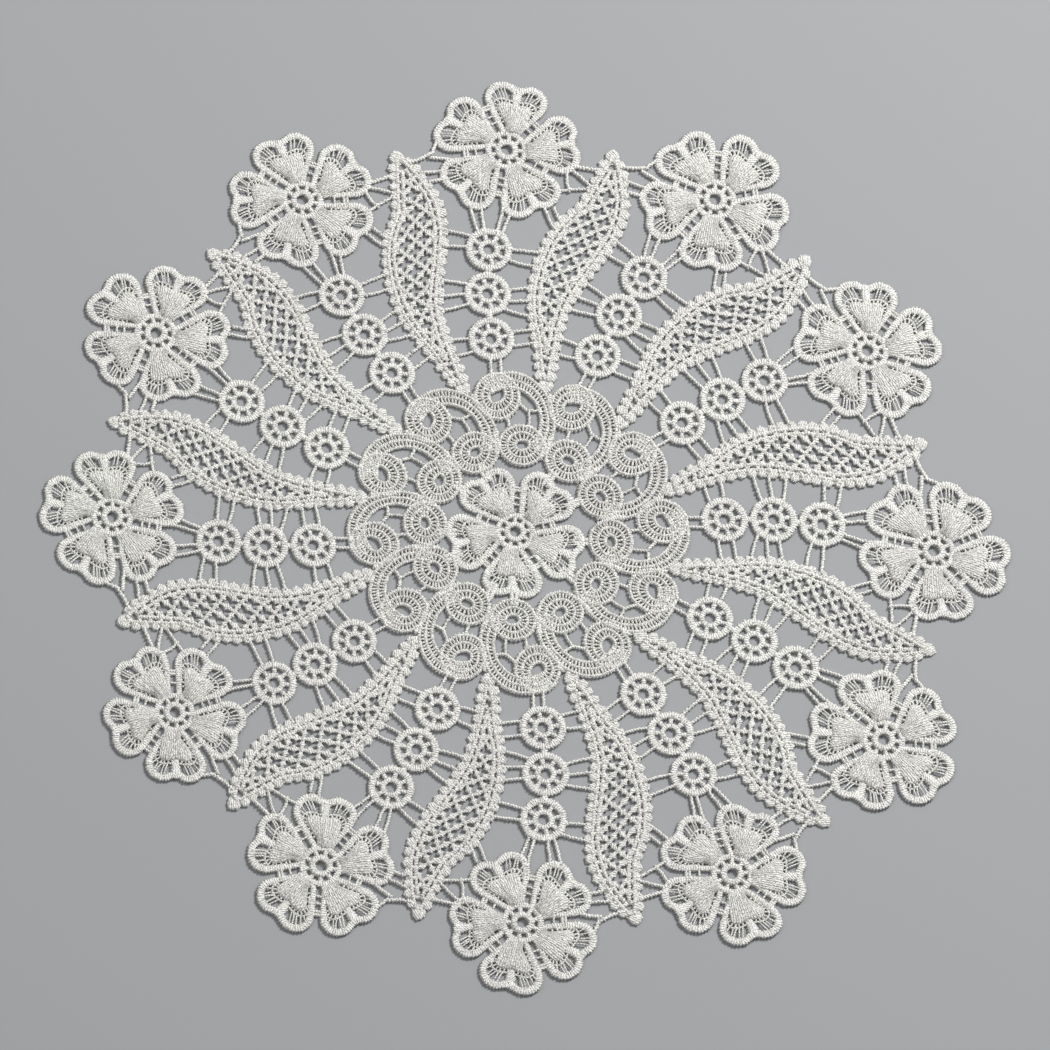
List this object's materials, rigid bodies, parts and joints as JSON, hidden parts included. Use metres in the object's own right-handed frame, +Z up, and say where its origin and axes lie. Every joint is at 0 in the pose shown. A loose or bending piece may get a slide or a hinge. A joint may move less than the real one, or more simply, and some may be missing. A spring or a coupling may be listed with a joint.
{
  "type": "lace placemat",
  "caption": "Round openwork lace placemat with a centre flower, curled scrolls, disc chains, curved leaves and a scalloped rim of flowers tied by thin bars.",
  "frame": {"origin": "middle of the mat's bounding box on the surface it lies on", "axes": "+Z up through the lace's thickness, +Y outwards through one of the rim flowers"},
  "size_m": [0.379, 0.3782, 0.0026],
  "materials": {
    "thread": "matte satin embroidery thread, off-white"
  },
  "bodies": {
    "root": {"lace": "thread"}
  },
  "joints": []
}
